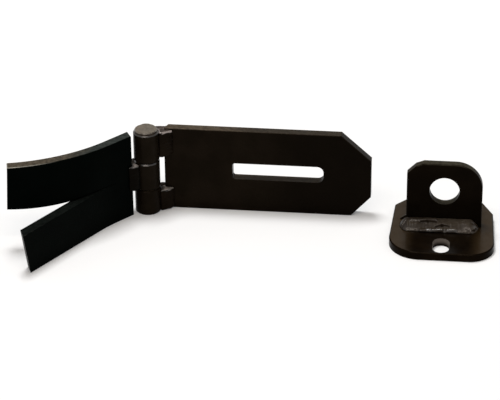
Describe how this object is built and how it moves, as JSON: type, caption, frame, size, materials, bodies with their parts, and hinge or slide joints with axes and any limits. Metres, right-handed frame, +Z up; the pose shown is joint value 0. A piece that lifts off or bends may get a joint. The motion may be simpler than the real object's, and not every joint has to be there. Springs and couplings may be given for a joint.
{
  "type": "padlock hasp",
  "caption": "Heavy welded padlock hasp: slotted swinging plate, barrel hinge and split-tail wall leaf, with a bolt-down staple whose ear has a round shackle hole.",
  "frame": {"origin": "On the hinge axis, at the foot of the barrel, on the surface that the set stands on.", "axes": "+Z up along the hinge axis, +X along the swinging plate towards its tip and the staple, -Y towards the front of the plate."},
  "size_m": [0.2642, 0.0972, 0.0514],
  "materials": {
    "leaf_paint": "glossy black paint over flat bar",
    "hasp_paint": "glossy brown-black paint over flat bar and tube",
    "weld_paint": "glossy brown-black paint over weld beads",
    "staple_paint": "glossy brown-black paint over plate",
    "pin_steel": "bare drawn steel rod"
  },
  "bodies": {
    "wall_side": {"fishtail_leaf": "leaf_paint", "middle_knuckle": "hasp_paint", "leaf_weld_front": "weld_paint", "leaf_weld_back": "weld_paint", "staple_base": "staple_paint", "staple_ear": "staple_paint", "ear_weld_front": "weld_paint", "ear_weld_back": "weld_paint"},
    "hasp": {"hasp_plate": "hasp_paint", "top_knuckle": "hasp_paint", "bottom_knuckle": "hasp_paint", "hinge_pin": "pin_steel", "pin_weld_top": "weld_paint", "pin_weld_bottom": "weld_paint", "top_weld_front": "weld_paint", "top_weld_back": "weld_paint", "bottom_weld_front": "weld_paint", "bottom_weld_back": "weld_paint"}
  },
  "joints": [
    {"name": "hasp_hinge", "type": "hinge", "parent": "wall_side", "child": "hasp", "pos_m": [0, 0, 0], "axis": [0, 0, 1], "range_deg": [-125, 128]}
  ]
}
